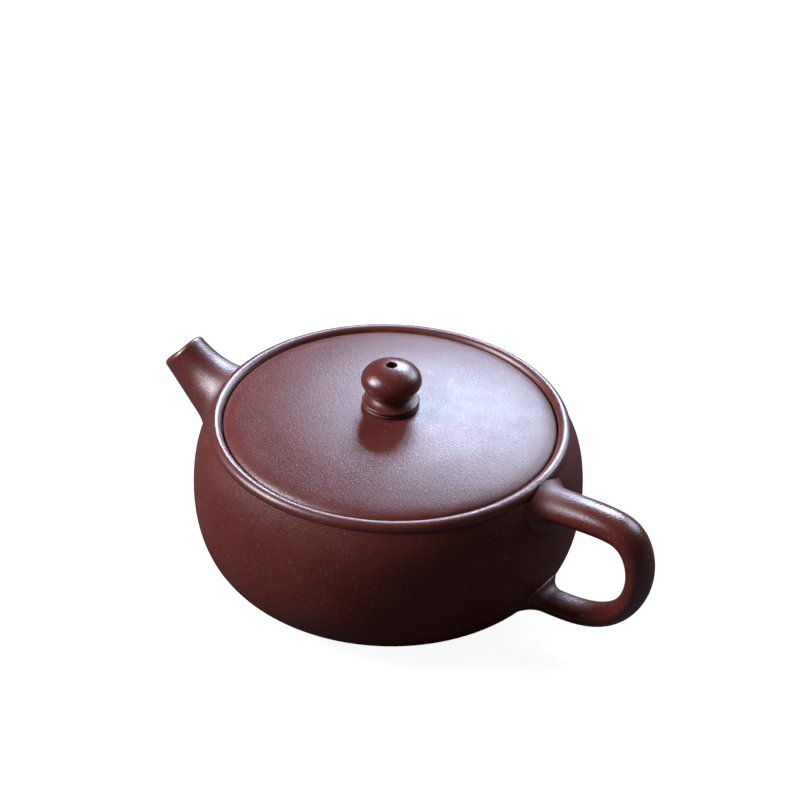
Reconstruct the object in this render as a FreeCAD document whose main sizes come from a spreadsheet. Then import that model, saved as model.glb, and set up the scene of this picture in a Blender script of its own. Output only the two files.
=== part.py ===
import FreeCAD, Part
import math
import os
from types import SimpleNamespace

import Sketcher
from FreeCAD import Vector

# Driving sizes of the teapot in millimetres, with counts and powers beside them.
SIZES = {
    # belly, drawn as one smooth curve from the base to the crease under the rim
    "base_radius": 27.0,
    "heel_radius": 37.7,
    "heel_lift": 0.15,
    "belly_radius": 47.15,
    "belly_low_height": 9.3,
    "wall_height": 39.1,
    "belly_high_drop": 8.1,
    "shoulder_width": 1.95,
    "shoulder_drop": 3.4,
    "wall_thickness": 3.0,
    "shoulder_thickness": 2.6,
    # base disc
    "base_thickness": 3.0,
    "base_crown": 1.2,
    "dish_radius": 21.0,
    "dish_depth": 1.4,
    # rim and lid seat
    "mouth_inset": 7.0,
    "bead_radius": 1.6,
    "bead_tuck": 0.5,
    "bead_groove": 0.6,
    "seat_drop": 1.7,
    "seat_thickness": 2.5,
    "seat_width": 5.55,
    # lid
    "lid_clearance": 0.3,
    "lid_edge_thickness": 2.4,
    "lid_rise": 8.2,
    "lid_thickness": 3.0,
    "lid_brow_inset": 0.15,
    "lid_brow_height": 3.6,
    "lid_slope_inset": 5.85,
    "lid_slope_height": 4.95,
    "lid_crown_radius": 20.5,
    "lid_crown_drop": 0.6,
    "flange_clearance": 0.35,
    "flange_thickness": 2.4,
    "flange_depth": 7.5,
    "flange_rounding": 0.8,
    # knob and its collar
    "steam_radius": 1.4,
    "collar_radius": 6.4,
    "collar_bead": 0.45,
    "collar_flare": 1.95,
    "collar_shelf": 0.5,
    "neck_radius": 4.5,
    "knob_height": 7.45,
    "knob_under_radius": 7.1,
    "knob_under_height": 1.3,
    "knob_side_radius": 8.2,
    "knob_side_height": 4.55,
    "knob_top_radius": 4.65,
    "knob_top_drop": 0.45,
    # spout
    "spout_elbow_out": 4.1,
    "spout_tip_out": 15.9,
    "spout_tip_drop": 1.6,
    "spout_tip_radius": 5.5,
    "spout_root_radius": 12.5,
    "spout_taper": 1.68,
    "spout_bore_tip": 3.1,
    "spout_passage": 6.0,
    "spout_fillet": 4.5,
    "mouth_saddle": 24.0,
    "mouth_trim": 0.35,
    "lip_outer_rounding": 1.1,
    "lip_inner_rounding": 0.7,
    # strainer
    "strainer_lap": 1.5,
    "strainer_gap": 0.6,
    "strainer_thickness": 1.1,
    "strainer_hole": 0.85,
    # handle
    "handle_top_drop": 3.4,
    "handle_crown_out": 13.3,
    "handle_crown_drop": 1.4,
    "handle_back_out": 22.6,
    "handle_back_drop": 0.5,
    "handle_heel_out": 26.4,
    "handle_heel_height": 18.7,
    "handle_tail_out": 11.6,
    "handle_tail_height": 5.6,
    "handle_foot_height": 10.0,
    "handle_top_thickness": 7.5,
    "handle_foot_thickness": 4.6,
    "handle_top_width": 10.1,
    "handle_foot_width": 8.1,
    "handle_fillet": 4.0,
}

# Largest share of a wall's thickness that one of its rounded edges takes up.
ROUNDING_SHARE = 0.45
# How deep the luted ends of the spout and the handle reach behind the belly's skin.
ROOT_DEPTH = 7.0
# Share of a root's fillet that is held back on its upper side, under the rim.
ROOT_TOP_SHARE = 0.5
# Rings in a root's fillet, by how far round its quarter circle they lie, in degrees.
FILLET_ANGLES = (78.0, 60.0, 43.0, 28.0, 13.0, 0.0)
# Rings behind the belly's skin: depth and spread as shares of the fillet's radius.
BURIED_RINGS = ((0.8, 0.95), (0.2, 0.92))
# How many radii of a fillet out from the belly a ring stops bending to the belly's skin.
FOLLOW_REACH = 2.0
# Rings along the free stretch of the spout and of the handle, and round each ring.
SPOUT_RINGS = 8
HANDLE_RINGS = 18
RING_POLES = 20
DEGREE = 3
# Poles of a round ring of unit size, set out so far that the curve they draw has that size.
POLE_REACH = 3 / (2 + math.cos(2 * math.pi / RING_POLES))
RING_ANGLES = [2 * math.pi * step / RING_POLES for step in range(RING_POLES)]
RING = [(POLE_REACH * math.cos(angle), POLE_REACH * math.sin(angle)) for angle in RING_ANGLES]
# Rings of strainer holes: angle off the spout's line in degrees, and how many holes.
STRAINER_RINGS = ((0.0, 1), (26.0, 6), (52.0, 12))
# Share of the strainer's radius at which its holes start, so that they stay apart.
STRAINER_HOLE_START = 0.65


class Size:
    """A length that carries its number and the sheet formula that it comes from."""

    def __init__(self, number, formula):
        self.number = number
        self.formula = formula

    def __add__(self, other):
        return Size(self.number + other.number, f"({self.formula} + {other.formula})")

    def __sub__(self, other):
        return Size(self.number - other.number, f"({self.formula} - {other.formula})")

    def within(self, wall):
        """A rounding's radius, held to its share of the wall that it lies in."""
        number = min(self.number, ROUNDING_SHARE * wall.number)
        return Size(number, f"min({self.formula}; {ROUNDING_SHARE} * {wall.formula})")


def fill_sheet(doc):
    """Put the driving sizes in the sheet and give them back by name, with those that follow from them."""
    sheet = doc.addObject("Spreadsheet::Sheet", "sizes")
    for row, (name, number) in enumerate(SIZES.items(), start=1):
        sheet.set(f"A{row}", str(number))
        sheet.setAlias(f"A{row}", name)
    doc.recompute()
    dims = SimpleNamespace(**{name: Size(float(sheet.get(name)), f"sizes.{name}") for name in SIZES})
    dims.rim_bore = dims.belly_radius - dims.mouth_inset
    dims.seat_bore = dims.rim_bore - dims.seat_width
    dims.strainer_radius = dims.spout_passage + dims.strainer_lap
    ledge = seat_height(dims) - dims.seat_thickness
    dims.spout_height = ledge - dims.strainer_gap - dims.strainer_radius
    return dims


def new_body(doc, name):
    body = doc.addObject("PartDesign::Body", name)
    body.Label = name
    return body


def new_sketch(body, name, role):
    """A sketch on one of the body's own origin planes."""
    plane = next(feature for feature in body.Origin.OriginFeatures if feature.Role == role)
    sketch = body.newObject("Sketcher::SketchObject", name)
    sketch.AttachmentSupport = [(plane, "")]
    sketch.MapMode = "FlatFace"
    return sketch


def tie(sketch, geometry, position, point):
    """Hold one point of the sketch at two sizes. None stands for a place on the axis."""
    for kind, axis, size in (("DistanceX", -2, point[0]), ("DistanceY", -1, point[1])):
        if size is None:
            sketch.addConstraint(Sketcher.Constraint("PointOnObject", geometry, position, axis))
            continue
        index = sketch.addConstraint(Sketcher.Constraint(kind, -1, 1, geometry, position, size.number))
        sketch.setExpression(f"Constraints[{index}]", size.formula)


def place(point):
    return Vector(*[size.number if size else 0.0 for size in point], 0.0)


def add_line(sketch, start, end):
    return sketch.addGeometry(Part.LineSegment(place(start), place(end))), 1, 2


def add_arc(sketch, start, end, radius, turn):
    """An arc of under half a turn. turn is 1 where it bends to the left, and -1 to the right."""
    first, last = place(start), place(end)
    chord = last - first
    sagitta = math.sqrt(max(radius.number**2 - (chord.Length / 2) ** 2, 0.0))
    left = Vector(-chord.y, chord.x, 0.0).normalize()
    centre = (first + last) / 2 + left * (turn * sagitta)
    ends = (first, last) if turn > 0 else (last, first)
    angles = [math.atan2(end.y - centre.y, end.x - centre.x) for end in ends]
    circle = Part.Circle(centre, Vector(0, 0, 1), radius.number)
    arc = sketch.addGeometry(Part.ArcOfCircle(circle, *angles))
    index = sketch.addConstraint(Sketcher.Constraint("Radius", arc, radius.number))
    sketch.setExpression(f"Constraints[{index}]", radius.formula)
    return (arc, 1, 2) if turn > 0 else (arc, 2, 1)


def add_curve(sketch, start, poles):
    """A smooth curve drawn by its poles, each of the inner ones tied to its sizes."""
    points = [start, *poles]
    curve = Part.BSplineCurve()
    curve.buildFromPoles([place(point) for point in points], False, min(3, len(points) - 1))
    spline = sketch.addGeometry(curve)
    for number, point in enumerate(points):
        circle = sketch.addGeometry(Part.Circle(place(point), Vector(0, 0, 1), 1.0), True)
        sketch.addConstraint(Sketcher.Constraint("Weight", circle, 1.0))
        link = "InternalAlignment:Sketcher::BSplineControlPoint"
        sketch.addConstraint(Sketcher.Constraint(link, circle, 3, spline, number))
        if 0 < number < len(points) - 1:
            tie(sketch, circle, 3, point)
    return spline, 1, 2


def draw_outline(sketch, start, runs):
    """A closed outline: runs that start where the last one ended, back to the first point."""
    here = start
    joints = []
    for run in runs:
        if run[0] == "line":
            end = run[1]
            joints.append(add_line(sketch, here, end))
        elif run[0] == "arc":
            end = run[1]
            joints.append(add_arc(sketch, here, *run[1:]))
        else:
            end = run[1][-1]
            joints.append(add_curve(sketch, here, run[1]))
        geometry, _, position = joints[-1]
        tie(sketch, geometry, position, end)
        here = end
    for (geometry, first, _), (before, _, last) in zip(joints, joints[-1:] + joints[:-1]):
        sketch.addConstraint(Sketcher.Constraint("Coincident", geometry, first, before, last))


def turn_body(doc, name, start, runs):
    """A piece turned about the pot's upright axis from its half section."""
    body = new_body(doc, name)
    sketch = new_sketch(body, f"{name}_section", "YZ_Plane")
    draw_outline(sketch, start, runs)
    turned = body.newObject("PartDesign::Revolution", f"{name}_turned")
    turned.Profile = sketch
    turned.ReferenceAxis = (sketch, ["V_Axis"])
    turned.Angle = 360.0
    doc.recompute()
    return body


def make_base_disc(doc, dims):
    under = dims.dish_depth
    top = dims.base_thickness + dims.base_crown
    edge = dims.base_radius
    runs = [
        ("curve", [(dims.dish_radius, under), (dims.dish_radius, None)]),
        ("line", (edge, None)),
        ("line", (edge, dims.base_thickness)),
        ("curve", [(dims.dish_radius, top), (None, top)]),
        ("line", (None, under)),
    ]
    return turn_body(doc, "base_disc", (None, under), runs)


def belly_poles(dims):
    """The belly's outer curve, from the base's edge to the crease under the rim."""
    high = dims.wall_height - dims.belly_high_drop
    shoulder = (crease_radius(dims) + dims.shoulder_width, dims.wall_height - dims.shoulder_drop)
    return [
        (dims.base_radius, None),
        (dims.heel_radius, dims.heel_lift),
        (dims.belly_radius, dims.belly_low_height),
        (dims.belly_radius, high),
        shoulder,
        (crease_radius(dims), dims.wall_height),
    ]


def crease_radius(dims):
    """Where the foot of the rim's bead meets the shoulder."""
    middle = dims.rim_bore + dims.bead_radius
    reach = f"sqrt({dims.bead_radius.formula} ^ 2 - {dims.bead_tuck.formula} ^ 2)"
    number = math.sqrt(dims.bead_radius.number**2 - dims.bead_tuck.number**2)
    return middle + Size(number, reach)


def seat_height(dims):
    return dims.wall_height - dims.seat_drop


def make_body_wall(doc, dims):
    outer = belly_poles(dims)
    inner_radius = dims.belly_radius - dims.wall_thickness
    ledge = seat_height(dims) - dims.seat_thickness
    inner = [
        (inner_radius, ledge - dims.shoulder_thickness),
        (inner_radius, dims.belly_low_height + dims.wall_thickness),
        (dims.heel_radius, dims.heel_lift + dims.base_thickness),
        (dims.base_radius, dims.base_thickness),
    ]
    runs = [
        ("curve", outer[1:]),
        ("line", (dims.rim_bore, dims.wall_height)),
        ("line", (dims.rim_bore, ledge)),
        ("curve", inner),
        ("line", (dims.base_radius, None)),
    ]
    body = turn_body(doc, "body_wall", outer[0], runs)
    whole = body.Shape.Volume
    hole = new_sketch(body, "spout_hole", "YZ_Plane")
    circle = hole.addGeometry(Part.Circle(place((None, dims.spout_height)), Vector(0, 0, 1), 1.0))
    tie(hole, circle, 3, (None, dims.spout_height))
    index = hole.addConstraint(Sketcher.Constraint("Radius", circle, dims.spout_passage.number))
    hole.setExpression(f"Constraints[{index}]", dims.spout_passage.formula)
    pocket = body.newObject("PartDesign::Pocket", "spout_passage")
    pocket.Profile = hole
    pocket.Type = "ThroughAll"
    doc.recompute()
    if body.Shape.Volume >= whole:
        raise RuntimeError("the spout's hole does not cut the wall")
    return body


def make_lid_seat_ring(doc, dims):
    top = seat_height(dims)
    under = top - dims.seat_thickness
    runs = [
        ("line", (dims.rim_bore, under)),
        ("line", (dims.rim_bore, top)),
        ("line", (dims.seat_bore, top)),
        ("line", (dims.seat_bore, under)),
    ]
    return turn_body(doc, "lid_seat_ring", (dims.seat_bore, under), runs)


def make_mouth_rim(doc, dims):
    foot = dims.wall_height
    middle = foot + dims.bead_tuck
    crest = (dims.rim_bore + dims.bead_radius, middle + dims.bead_radius)
    side = (crest[0] + dims.bead_radius, middle)
    runs = [
        ("line", (crease_radius(dims), foot)),
        ("arc", side, dims.bead_radius, 1),
        ("arc", crest, dims.bead_radius, 1),
        ("arc", (dims.rim_bore, middle), dims.bead_radius, 1),
        ("line", (dims.rim_bore, foot)),
    ]
    return turn_body(doc, "mouth_rim", (dims.rim_bore, foot), runs)


def lid_top(dims):
    return seat_height(dims) + dims.lid_rise


def make_lid_plate(doc, dims):
    under = seat_height(dims)
    edge = dims.rim_bore - dims.lid_clearance
    flange_inside = dims.seat_bore - dims.flange_clearance - dims.flange_thickness
    seat = dims.collar_radius + dims.collar_bead
    vault = lid_top(dims) - dims.lid_thickness
    dome = [
        (edge - dims.lid_brow_inset, under + dims.lid_brow_height),
        (edge - dims.lid_slope_inset, under + dims.lid_slope_height),
        (dims.lid_crown_radius, lid_top(dims) - dims.lid_crown_drop),
        (seat, lid_top(dims)),
    ]
    runs = [
        ("line", (edge, under)),
        ("line", (edge, under + dims.lid_edge_thickness)),
        ("curve", dome),
        ("line", (dims.steam_radius, lid_top(dims))),
        ("line", (dims.steam_radius, vault)),
        ("curve", [(dims.lid_crown_radius, vault), (flange_inside, under)]),
    ]
    return turn_body(doc, "lid_plate", (flange_inside, under), runs)


def make_lid_flange(doc, dims):
    top = seat_height(dims)
    outside = dims.seat_bore - dims.flange_clearance
    inside = outside - dims.flange_thickness
    foot = top - dims.flange_depth
    bend = dims.flange_rounding.within(dims.flange_thickness)
    runs = [
        ("line", (outside - bend, foot)),
        ("arc", (outside, foot + bend), bend, 1),
        ("line", (outside, top)),
        ("line", (inside, top)),
        ("line", (inside, foot + bend)),
        ("arc", (inside + bend, foot), bend, 1),
    ]
    return turn_body(doc, "lid_flange", (inside + bend, foot), runs)


def collar_top(dims):
    beads = dims.collar_bead + dims.collar_bead + dims.collar_bead + dims.collar_bead
    return lid_top(dims) + beads + dims.collar_flare


def make_knob_collar(doc, dims):
    low = lid_top(dims)
    bead = dims.collar_bead
    groove = low + bead + bead
    shelf = groove + bead + bead
    rim = dims.collar_radius
    runs = [
        ("line", (rim, low)),
        ("arc", (rim + bead, low + bead), bead, 1),
        ("arc", (rim, groove), bead, 1),
        ("arc", (rim + bead, groove + bead), bead, 1),
        ("arc", (rim, shelf), bead, 1),
        ("curve", [(dims.neck_radius, shelf + dims.collar_shelf), (dims.neck_radius, collar_top(dims))]),
        ("line", (dims.steam_radius, collar_top(dims))),
        ("line", (dims.steam_radius, low)),
    ]
    return turn_body(doc, "knob_collar", (dims.steam_radius, low), runs)


def make_knob(doc, dims):
    low = collar_top(dims)
    top = low + dims.knob_height
    ball = [
        (dims.knob_under_radius, low + dims.knob_under_height),
        (dims.knob_side_radius, low + dims.knob_side_height),
        (dims.knob_top_radius, top - dims.knob_top_drop),
        (dims.steam_radius, top),
    ]
    runs = [
        ("line", (dims.neck_radius, low)),
        ("curve", ball),
        ("line", (dims.steam_radius, low)),
    ]
    return turn_body(doc, "knob", (dims.steam_radius, low), runs)


def root_of(function, low, high):
    """Where a function that changes sign once between low and high is zero."""
    rising = function(high) > function(low)
    for _ in range(50):
        middle = (low + high) / 2
        if (function(middle) > 0) == rising:
            high = middle
        else:
            low = middle
    return (low + high) / 2


def belly_curve(dims):
    curve = Part.BSplineCurve()
    poles = [Vector(point.x, 0.0, point.y) for point in map(place, belly_poles(dims))]
    curve.buildFromPoles(poles, False, 3)
    return curve


def belly_radius_at(curve, height):
    """Radius of the belly's skin at a height, held at the ends of the curve."""
    first, last = curve.FirstParameter, curve.LastParameter
    height = min(max(height, curve.value(first).z), curve.value(last).z)
    return curve.value(root_of(lambda at: curve.value(at).z - height, first, last)).x


def belly_solid(curve):
    """The belly without its hollow."""
    low, high = curve.StartPoint, curve.EndPoint
    axis_low, axis_high = Vector(0, 0, low.z), Vector(0, 0, high.z)
    sides = [
        curve.toShape(),
        Part.makeLine(high, axis_high),
        Part.makeLine(axis_high, axis_low),
        Part.makeLine(axis_low, low),
    ]
    face = Part.Face(Part.Wire(sides))
    face.rotate(Vector(0, 0, 0), Vector(0, 0, 1), 90)
    return face.revolve(Vector(0, 0, 0), Vector(0, 0, 1), 360)


def rim_space(dims):
    """The rim's bead with the tooled groove beside it, the mouth inside it and the air above it."""
    middle = dims.wall_height.number + dims.bead_tuck.number
    ring_radius = dims.rim_bore.number + dims.bead_radius.number
    tube = dims.bead_radius.number + dims.bead_groove.number
    ring = Part.makeTorus(ring_radius, tube, Vector(0, 0, middle), Vector(0, 0, 1))
    height = 4 * tube
    inside = Part.makeCylinder(ring_radius, height, Vector(0, 0, middle - tube))
    above = Part.makeCylinder(ring_radius + tube, height, Vector(0, 0, middle + tube))
    return ring.fuse([inside, above])


def limb_ring(curve, path, at, halves, spread, follow):
    """One oval ring of a limb of clay, spread and bent to the belly where it lies close to it."""
    centre = path.value(at)
    across = path.tangent(at)[0].cross(Vector(0, 1, 0))
    outward = math.copysign(1.0, centre.x)
    skin = belly_radius_at(curve, centre.z)
    poles = []
    for thick, wide in RING:
        reach = halves[0] + spread * (1 - ROOT_TOP_SHARE * max(0.0, thick * across.z))
        point = centre + across * (thick * reach) + Vector(0, wide * (halves[1] + spread), 0)
        skin_here = math.sqrt(belly_radius_at(curve, point.z) ** 2 - point.y**2)
        point.x += outward * follow * (skin_here - skin)
        poles.append(point)
    return poles


def skin_rings(rings):
    """A solid with one smooth skin drawn by rings of poles, closed by its two flat ends."""
    inner_knots = len(rings) - DEGREE - 1
    along = [DEGREE + 1] + [1] * inner_knots + [DEGREE + 1]
    around = [1] * (RING_POLES + 1)
    skin = Part.BSplineSurface()
    skin.buildFromPolesMultsKnots(
        rings, along, around, list(range(len(along))), list(range(len(around))), False, True, DEGREE, DEGREE
    )
    side = skin.toShape()
    ends = [Part.Face(Part.Wire(edge)) for edge in side.Edges if edge.isClosed()]
    shell = Part.makeShell([side, *ends])
    shell.sewShape()
    solid = Part.makeSolid(shell)
    if solid.Volume < 0:
        solid.reverse()
    return solid


def root_rings(curve, path, buried, free, fillet, halves_at):
    """Rings of a limb's root, from its buried end out to where its fillet ends."""
    steps = [(-depth, spread) for depth, spread in BURIED_RINGS]
    for degrees in FILLET_ANGLES:
        angle = math.radians(degrees)
        steps.append((1 - math.sin(angle), 1 - math.cos(angle)))
    stub = Vector(math.copysign(ROOT_DEPTH, path.value(buried).x), 0, 0)
    end = limb_ring(curve, path, buried, halves_at(buried), fillet * BURIED_RINGS[0][1], 0.0)
    rings = [[pole - stub for pole in end]]
    for distance, spread in steps:
        def beyond(place_on_path):
            point = path.value(place_on_path)
            return abs(point.x) - belly_radius_at(curve, point.z) - distance * fillet
        at = root_of(beyond, buried, free)
        follow = min(1.0, 1.0 - distance / FOLLOW_REACH)
        rings.append(limb_ring(curve, path, at, halves_at(at), fillet * spread, follow))
    return rings, at


def spread_out(low, high, count):
    return [low + (high - low) * (step + 1) / (count + 1) for step in range(count)]


def make_handle(doc, dims, curve, belly):
    belly_radius = dims.belly_radius.number
    top = dims.wall_height.number
    start = top - dims.handle_top_drop.number
    foot = dims.handle_foot_height.number
    poles = [
        (belly_radius_at(curve, start) - ROOT_DEPTH, start),
        (belly_radius + dims.handle_crown_out.number, top - dims.handle_crown_drop.number),
        (belly_radius + dims.handle_back_out.number, top - dims.handle_back_drop.number),
        (belly_radius + dims.handle_heel_out.number, dims.handle_heel_height.number),
        (belly_radius + dims.handle_tail_out.number, dims.handle_tail_height.number),
        (belly_radius_at(curve, foot) - ROOT_DEPTH, foot),
    ]
    path = Part.BSplineCurve()
    path.buildFromPoles([Vector(x, 0, z) for x, z in poles], False, 3)
    fillet = dims.handle_fillet.number
    first, last = path.FirstParameter, path.LastParameter

    def halves_at(at):
        share = (at - first) / (last - first)
        ends = (
            (dims.handle_top_thickness, dims.handle_foot_thickness),
            (dims.handle_top_width, dims.handle_foot_width),
        )
        return [(start.number + (end.number - start.number) * share) / 2 for start, end in ends]

    middle = (first + last) / 2
    upper, upper_end = root_rings(curve, path, first, middle, fillet, halves_at)
    lower, lower_end = root_rings(curve, path, last, middle, fillet, halves_at)
    free = [
        limb_ring(curve, path, at, halves_at(at), 0.0, 0.0)
        for at in spread_out(upper_end, lower_end, HANDLE_RINGS)
    ]
    rings = [*upper, *free, *reversed(lower)]
    limb = skin_rings(rings)
    handle = doc.addObject("Part::Feature", "handle")
    handle.Label = "handle"
    handle.Shape = limb.cut(belly).cut(rim_space(dims))
    return handle


def spout_path(dims):
    out = dims.belly_radius.number
    height = dims.spout_height.number
    path = Part.BezierCurve()
    path.setPoles([
        Vector(ROOT_DEPTH - out, 0, height),
        Vector(-out - dims.spout_elbow_out.number, 0, height),
        Vector(-out - dims.spout_tip_out.number, 0, dims.wall_height.number - dims.spout_tip_drop.number),
    ])
    return path


def make_spout(doc, dims, curve, belly):
    path = spout_path(dims)
    fillet = dims.spout_fillet.number
    tip = dims.spout_tip_radius.number
    root = dims.spout_root_radius.number
    taper = dims.spout_taper.number

    def halves_at(at):
        return [tip + (root - tip) * (1 - at) ** taper] * 2

    rings, root_end = root_rings(curve, path, 0.0, 1.0, fillet, halves_at)
    for at in [*spread_out(root_end, 1.0, SPOUT_RINGS), 1.0]:
        rings.append(limb_ring(curve, path, at, halves_at(at), 0.0, 0.0))
    passage = dims.spout_passage.number
    narrow = dims.spout_bore_tip.number
    bore = []
    for at in [0.0, *spread_out(0.0, 1.0, SPOUT_RINGS), 1.0]:
        radius = narrow + (passage - narrow) * (1 - at) ** taper
        bore.append(limb_ring(curve, path, at, (radius, radius), 0.0, 0.0))
    end = path.value(1.0)
    outward = path.tangent(1.0)[0]
    bore.append([pole + outward * tip for pole in bore[-1]])
    limb = skin_rings(rings).cut(skin_rings(bore))
    saddle = dims.mouth_saddle.number
    middle = end + outward * (math.sqrt(saddle**2 - tip**2) - dims.mouth_trim.number)
    width = 4 * tip
    limb = limb.cut(Part.makeCylinder(saddle, width, middle - Vector(0, width / 2, 0), Vector(0, 1, 0)))
    limb = round_lip(limb, dims)
    spout = doc.addObject("Part::Feature", "spout")
    spout.Label = "spout"
    spout.Shape = limb.cut(belly).cut(rim_space(dims))
    return spout


def round_lip(limb, dims):
    """Round the two edges of the spout's saddle-shaped mouth."""
    saddle = dims.mouth_saddle.number
    wall = dims.spout_tip_radius - dims.spout_bore_tip
    for rounding, which in ((dims.lip_outer_rounding, max), (dims.lip_inner_rounding, min)):
        lip = next(
            face for face in limb.Faces
            if isinstance(face.Surface, Part.Cylinder) and abs(face.Surface.Radius - saddle) < 1e-6
        )
        wire = which(lip.Wires, key=lambda wire: wire.Length)
        limb = limb.makeFillet(rounding.within(wall).number, wire.Edges)
    return limb


def make_strainer(doc, dims, wall, seat):
    """A thin dome with holes, luted over the spout's hole inside the wall."""
    depth = dims.belly_radius - dims.wall_thickness
    outside = dims.strainer_radius
    centre = Vector(-depth.number, 0, dims.spout_height.number)
    inward = FreeCAD.Rotation(Vector(0, 0, 1), Vector(1, 0, 0))
    domes = []
    for name, radius in (
        ("strainer_outside", outside),
        ("strainer_inside", outside - dims.strainer_thickness),
    ):
        dome = doc.addObject("Part::Sphere", name)
        dome.setExpression("Radius", radius.formula)
        dome.Angle1 = 0.0
        dome.Placement = FreeCAD.Placement(centre, inward)
        dome.setExpression("Placement.Base.x", f"-{depth.formula}")
        dome.setExpression("Placement.Base.z", dims.spout_height.formula)
        domes.append(dome)
    shell = doc.addObject("Part::Cut", "strainer_shell")
    shell.Base, shell.Tool = domes
    holes = []
    for tilt, count in STRAINER_RINGS:
        for step in range(count):
            spin = FreeCAD.Rotation(Vector(1, 0, 0), 360.0 * step / count)
            lean = FreeCAD.Rotation(Vector(0, 1, 0), tilt)
            turn = spin * lean * inward
            start = turn.multVec(Vector(0, 0, STRAINER_HOLE_START))
            hole = doc.addObject("Part::Cylinder", "strainer_hole")
            hole.setExpression("Radius", dims.strainer_hole.formula)
            hole.setExpression("Height", outside.formula)
            hole.Placement = FreeCAD.Placement(centre + start * outside.number, turn)
            away = [f"{share} * {outside.formula}" for share in start]
            hole.setExpression("Placement.Base.x", f"{away[0]} - {depth.formula}")
            hole.setExpression("Placement.Base.y", away[1])
            hole.setExpression("Placement.Base.z", f"{away[2]} + {dims.spout_height.formula}")
            holes.append(hole)
    drill = doc.addObject("Part::Compound", "strainer_holes")
    drill.Links = holes
    drilled = doc.addObject("Part::Cut", "strainer_drilled")
    drilled.Base, drilled.Tool = shell, drill
    fitted = doc.addObject("Part::Cut", "strainer_fitted")
    fitted.Base, fitted.Tool = drilled, wall
    strainer = doc.addObject("Part::Cut", "spout_strainer")
    strainer.Label = "spout_strainer"
    strainer.Base, strainer.Tool = fitted, seat
    return strainer


def write_parts(doc, pieces):
    """Check every object and piece, then write one file for each piece."""
    doc.recompute()
    for item in doc.Objects:
        if {"Invalid", "Error"} & set(item.State):
            raise RuntimeError(f"{item.Name} failed: {item.State}")
    for piece in pieces:
        shape = piece.Shape
        if shape.isNull() or not shape.isValid() or len(shape.Solids) != 1:
            raise RuntimeError(f"{piece.Label} is not one valid solid")
    os.makedirs("parts", exist_ok=True)
    for piece in pieces:
        piece.Shape.exportStep(f"parts/{piece.Label}.step")
        print(f"{piece.Label}: {piece.Shape.Volume:.1f} mm3")


def main():
    doc = FreeCAD.newDocument("teapot")
    dims = fill_sheet(doc)
    curve = belly_curve(dims)
    belly = belly_solid(curve)
    wall = make_body_wall(doc, dims)
    seat = make_lid_seat_ring(doc, dims)
    pieces = [
        wall,
        seat,
        make_base_disc(doc, dims),
        make_mouth_rim(doc, dims),
        make_spout(doc, dims, curve, belly),
        make_strainer(doc, dims, wall, seat),
        make_handle(doc, dims, curve, belly),
        make_lid_plate(doc, dims),
        make_lid_flange(doc, dims),
        make_knob_collar(doc, dims),
        make_knob(doc, dims),
    ]
    write_parts(doc, pieces)


main()
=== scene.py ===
import math
from typing import NamedTuple

import bpy
from mathutils import Matrix, Vector

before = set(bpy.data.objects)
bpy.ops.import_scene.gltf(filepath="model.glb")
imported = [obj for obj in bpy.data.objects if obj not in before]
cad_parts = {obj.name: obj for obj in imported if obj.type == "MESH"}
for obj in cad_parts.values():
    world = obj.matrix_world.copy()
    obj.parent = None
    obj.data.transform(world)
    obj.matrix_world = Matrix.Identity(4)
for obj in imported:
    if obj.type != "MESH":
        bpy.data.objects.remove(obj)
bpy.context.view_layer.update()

# Where the photograph was taken from, found by matching the pot's outline. Angles are in degrees.
CAMERA_AZIMUTH = 33.7
CAMERA_ELEVATION = 34.23
CAMERA_ROLL = -1.866
CAMERA_DISTANCE = 0.8443
CAMERA_LENS = 159.24
CAMERA_NEAR = 0.01
CAMERA_TARGET = Vector((0.0, 0.0, 0.040685))
CAMERA_SHIFT = (0.0123, 0.02675)

# Reddish brown clay, in linear colour, with its darker and paler grains.
CLAY = (0.112, 0.020, 0.0135)
CLAY_DARK = (0.088, 0.0135, 0.0095)
CLAY_PALE = (0.140, 0.034, 0.024)
SPECK = (0.42, 0.30, 0.22)
CLAY_IOR = 1.55

# The clay's patterns: how fine each one is, and between which values it fades in.
CLOUD_SCALE = 55.0
CLOUD_FADE = (0.35, 0.65)
SAND_SCALE = 1500.0
SAND_FADE = (0.52, 0.72)
SPECK_SCALE = 500.0
SPECK_CORE = 0.6
SPECK_AREA_SCALE = 160.0
SPECK_AREA_FADE = (0.53, 0.57)
WEAR_SCALE = 240.0
WEAR_FADE = (0.3, 0.7)
WEAR_LEAST = 0.9
WEAR_MOST = 1.12
PIT_SCALE = 2600.0
PIT_DEPTH = 0.0003

# Between which distances from the pot's axis the burnish of a spout or handle fades in.
BURNISH_FADE = (0.048, 0.057)


class Finish(NamedTuple):
    """What tells one piece's surface from another's."""

    roughness: float
    shine: float
    grain: float
    specks: float
    burnished: float | None = None


# A spout and a handle are burnished by use where they stand clear of the wall.
FINISHES = {
    "pot": Finish(roughness=0.50, shine=0.32, grain=0.42, specks=0.075),
    "rim": Finish(roughness=0.37, shine=0.70, grain=0.10, specks=0.03),
    "spout": Finish(roughness=0.44, shine=1.0, grain=0.26, specks=0.055, burnished=0.31),
    "handle": Finish(roughness=0.50, shine=0.60, grain=0.24, specks=0.055, burnished=0.27),
    "lid": Finish(roughness=0.375, shine=0.58, grain=0.36, specks=0.07),
    "collar": Finish(roughness=0.40, shine=0.40, grain=0.20, specks=0.02),
    "knob": Finish(roughness=0.27, shine=0.65, grain=0.25, specks=0.02),
    "inside": Finish(roughness=0.55, shine=0.40, grain=0.30, specks=0.06),
}

# Which finish each piece has.
PIECES = {
    "body_wall": "pot",
    "base_disc": "inside",
    "lid_seat_ring": "inside",
    "mouth_rim": "rim",
    "spout": "spout",
    "spout_strainer": "inside",
    "handle": "handle",
    "lid_plate": "lid",
    "lid_flange": "inside",
    "knob_collar": "collar",
    "knob": "knob",
}


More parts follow.
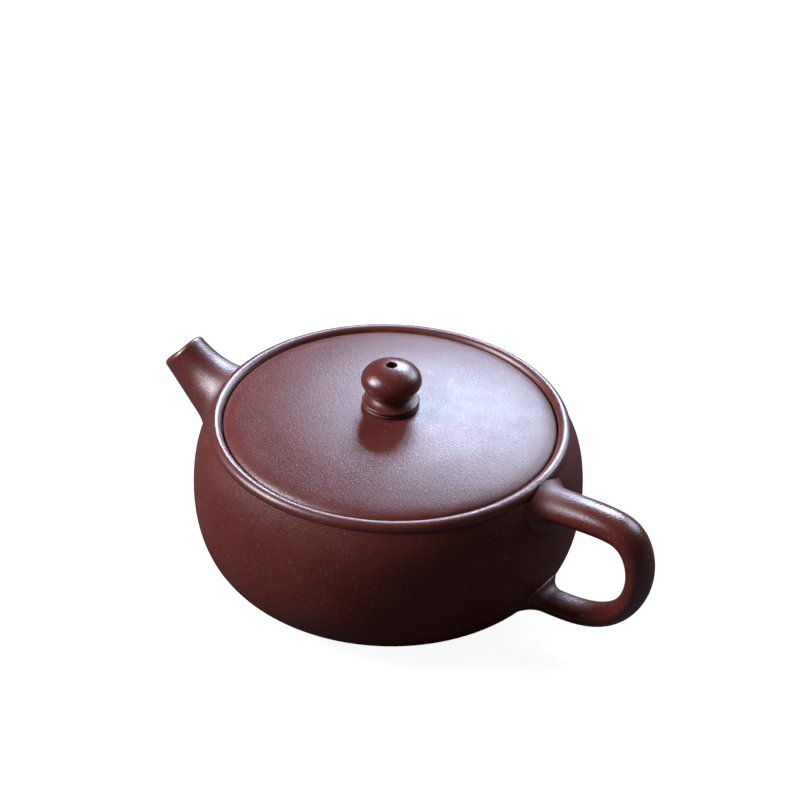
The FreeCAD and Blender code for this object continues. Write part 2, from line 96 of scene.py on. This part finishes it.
class SoftBox(NamedTuple):
    """A lamp: turn is in degrees to the right of straight behind the pot, as the camera sees it."""

    turn: float
    elevation: float
    distance: float
    size: tuple
    power: float
    colour: tuple


SOFT_BOXES = {
    "back_softbox": SoftBox(
        turn=11.0, elevation=33.0, distance=1.3,
        size=(0.46, 0.28), power=24.0, colour=(0.62, 0.75, 1.0),
    ),
    "left_softbox": SoftBox(
        turn=-93.0, elevation=36.0, distance=1.2,
        size=(0.36, 0.60), power=21.0, colour=(0.94, 0.91, 1.0),
    ),
    "right_softbox": SoftBox(
        turn=48.0, elevation=30.0, distance=1.2,
        size=(0.50, 0.45), power=8.0, colour=(0.70, 0.80, 1.0),
    ),
}

# The light from all round, and the white that the camera sees instead of it.
AMBIENT = (1.0, 0.68, 0.64)
AMBIENT_STRENGTH = 0.09
WHITE = (1.0, 1.0, 1.0)

# The floor glows a little short of white and adds what light falls on it, so that a shadow shows.
# To the pot it is a dark surface that sends little light back.
FLOOR_SIZE = 6.0
FLOOR_GLOW = 0.93
FLOOR_LIT = (0.2, 0.2, 0.2)
FLOOR_TO_POT = (0.09, 0.08, 0.08)

# The places of a mix node's two inputs and its output, for each kind of value.
MIX_SOCKETS = {"FLOAT": (2, 3, 0), "RGBA": (6, 7, 2)}


class Nodes:
    """A node tree, with short calls for adding and linking nodes."""

    def __init__(self, tree):
        self.tree = tree
        self.tree.nodes.clear()

    def add(self, kind, **values):
        node = self.tree.nodes.new(kind)
        for name, value in values.items():
            if name in node.inputs.keys():
                self.put(node.inputs[name], value)
            else:
                setattr(node, name, value)
        return node

    def put(self, socket, value):
        if isinstance(value, bpy.types.NodeSocket):
            self.tree.links.new(value, socket)
        elif socket.type == "RGBA":
            socket.default_value = (*value, 1.0)
        else:
            socket.default_value = value

    def noise(self, place, scale, detail=3.0, roughness=0.55):
        node = self.add(
            "ShaderNodeTexNoise", Vector=place, Scale=scale, Detail=detail, Roughness=roughness
        )
        return node.outputs["Fac"]

    def ramp(self, value, fade, result=(0.0, 1.0)):
        node = self.add("ShaderNodeMapRange", Value=value)
        node.inputs["From Min"].default_value, node.inputs["From Max"].default_value = fade
        node.inputs["To Min"].default_value, node.inputs["To Max"].default_value = result
        return node.outputs["Result"]

    def reach(self, place):
        """The distance from the pot's upright axis."""
        flat = self.add("ShaderNodeVectorMath", operation="MULTIPLY")
        self.put(flat.inputs[0], place)
        self.put(flat.inputs[1], (1.0, 1.0, 0.0))
        length = self.add("ShaderNodeVectorMath", operation="LENGTH")
        self.put(length.inputs[0], flat.outputs["Vector"])
        return length.outputs["Value"]

    def product(self, first, second):
        node = self.add("ShaderNodeMath", operation="MULTIPLY")
        self.put(node.inputs[0], first)
        self.put(node.inputs[1], second)
        return node.outputs[0]

    def mix(self, kind, share, first, second):
        start, end, result = MIX_SOCKETS[kind]
        node = self.add("ShaderNodeMix", data_type=kind, Factor=share)
        self.put(node.inputs[start], first)
        self.put(node.inputs[end], second)
        return node.outputs[result]

    def by_camera(self, unseen, seen):
        """One shader for what the camera sees and another for all other light."""
        path = self.add("ShaderNodeLightPath")
        node = self.add("ShaderNodeMixShader")
        self.put(node.inputs[0], path.outputs["Is Camera Ray"])
        self.put(node.inputs[1], unseen.outputs[0])
        self.put(node.inputs[2], seen.outputs[0])
        return node.outputs[0]

    def sum(self, first, second):
        node = self.add("ShaderNodeAddShader")
        self.put(node.inputs[0], first.outputs[0])
        self.put(node.inputs[1], second.outputs[0])
        return node


def clay(name, finish):
    """Fired sand clay: mottled colour, fine pits and a few pale grains."""
    material = bpy.data.materials.new(f"clay_{name}")
    material.use_nodes = True
    nodes = Nodes(material.node_tree)
    place = nodes.add("ShaderNodeTexCoord").outputs["Object"]

    cloud = nodes.ramp(nodes.noise(place, CLOUD_SCALE), CLOUD_FADE)
    sand = nodes.ramp(nodes.noise(place, SAND_SCALE, detail=2.0), SAND_FADE)
    cells = nodes.add("ShaderNodeTexVoronoi", Vector=place, Scale=SPECK_SCALE)
    speck = nodes.ramp(cells.outputs["Distance"], (finish.specks, finish.specks * SPECK_CORE))
    speckled = nodes.ramp(nodes.noise(place, SPECK_AREA_SCALE, detail=1.0), SPECK_AREA_FADE)
    colour = nodes.mix("RGBA", cloud, CLAY_DARK, CLAY)
    colour = nodes.mix("RGBA", sand, colour, CLAY_PALE)
    colour = nodes.mix("RGBA", nodes.product(speck, speckled), colour, SPECK)

    patches = nodes.noise(place, WEAR_SCALE)

    def worn(roughness):
        return nodes.ramp(patches, WEAR_FADE, (roughness * WEAR_LEAST, roughness * WEAR_MOST))

    roughness = worn(finish.roughness)
    if finish.burnished is not None:
        clear = nodes.ramp(nodes.reach(place), BURNISH_FADE)
        roughness = nodes.mix("FLOAT", clear, roughness, worn(finish.burnished))

    pits = nodes.noise(place, PIT_SCALE, detail=2.0, roughness=0.6)
    bump = nodes.add("ShaderNodeBump", Height=pits, Strength=finish.grain, Distance=PIT_DEPTH)
    shader = nodes.add("ShaderNodeBsdfPrincipled", Normal=bump.outputs["Normal"])
    nodes.put(shader.inputs["Base Color"], colour)
    nodes.put(shader.inputs["Roughness"], roughness)
    nodes.put(shader.inputs["IOR"], CLAY_IOR)
    nodes.put(shader.inputs["Specular IOR Level"], finish.shine)
    nodes.add("ShaderNodeOutputMaterial", Surface=shader.outputs["BSDF"])
    return material


def dress_pieces():
    """Give every piece of the pot its clay."""
    materials = {name: clay(name, finish) for name, finish in FINISHES.items()}
    for node, finish in PIECES.items():
        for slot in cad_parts[node].material_slots:
            slot.link = "OBJECT"
            slot.material = materials[finish]


def add_floor():
    """A pale floor that shows white with the pot's soft shadow on it."""
    bpy.ops.mesh.primitive_plane_add(size=FLOOR_SIZE, location=(0.0, 0.0, 0.0))
    floor = bpy.context.object
    floor.name = "floor"
    material = bpy.data.materials.new("floor")
    material.use_nodes = True
    nodes = Nodes(material.node_tree)
    to_pot = nodes.add("ShaderNodeBsdfDiffuse", Color=FLOOR_TO_POT)
    glow = nodes.add("ShaderNodeEmission", Color=WHITE, Strength=FLOOR_GLOW)
    lit = nodes.add("ShaderNodeBsdfDiffuse", Color=FLOOR_LIT)
    surface = nodes.by_camera(unseen=to_pot, seen=nodes.sum(glow, lit))
    nodes.add("ShaderNodeOutputMaterial", Surface=surface)
    floor.data.materials.append(material)


def direction(azimuth, elevation):
    """The way from the pot to a camera at these angles, in degrees."""
    turn = math.radians(azimuth)
    rise = math.radians(elevation)
    return Vector((
        math.sin(turn) * math.cos(rise),
        -math.cos(turn) * math.cos(rise),
        math.sin(rise),
    ))


def add_soft_box(name, box):
    away = direction(CAMERA_AZIMUTH - box.turn + 180.0, box.elevation)
    lamp = bpy.data.lights.new(name, "AREA")
    lamp.shape = "RECTANGLE"
    lamp.size, lamp.size_y = box.size
    lamp.energy = box.power
    lamp.color = box.colour
    light = bpy.data.objects.new(name, lamp)
    light.location = CAMERA_TARGET + away * box.distance
    light.rotation_euler = away.to_track_quat("Z", "Y").to_euler()
    bpy.context.collection.objects.link(light)


def add_ambient():
    """Dim warm light from all round, which the camera sees as white."""
    world = bpy.data.worlds.new("studio")
    bpy.context.scene.world = world
    world.use_nodes = True
    nodes = Nodes(world.node_tree)
    dim = nodes.add("ShaderNodeBackground", Color=AMBIENT, Strength=AMBIENT_STRENGTH)
    white = nodes.add("ShaderNodeBackground", Color=WHITE, Strength=1.0)
    nodes.add("ShaderNodeOutputWorld", Surface=nodes.by_camera(unseen=dim, seen=white))


def add_camera():
    back = direction(CAMERA_AZIMUTH, CAMERA_ELEVATION)
    azimuth = math.radians(CAMERA_AZIMUTH)
    right = Vector((math.cos(azimuth), math.sin(azimuth), 0.0))
    up = back.cross(right)
    roll = math.radians(CAMERA_ROLL)
    across = right * math.cos(roll) - up * math.sin(roll)
    above = right * math.sin(roll) + up * math.cos(roll)
    lens = bpy.data.cameras.new("camera")
    lens.lens = CAMERA_LENS
    lens.shift_x, lens.shift_y = CAMERA_SHIFT
    lens.clip_start = CAMERA_NEAR
    camera = bpy.data.objects.new("camera", lens)
    turn = Matrix((across, above, back)).transposed().to_4x4()
    camera.matrix_world = Matrix.Translation(CAMERA_TARGET + back * CAMERA_DISTANCE) @ turn
    bpy.context.collection.objects.link(camera)
    bpy.context.scene.camera = camera


dress_pieces()
add_floor()
for name, box in SOFT_BOXES.items():
    add_soft_box(name, box)
add_ambient()
add_camera()
bpy.context.scene.view_settings.view_transform = "Standard"
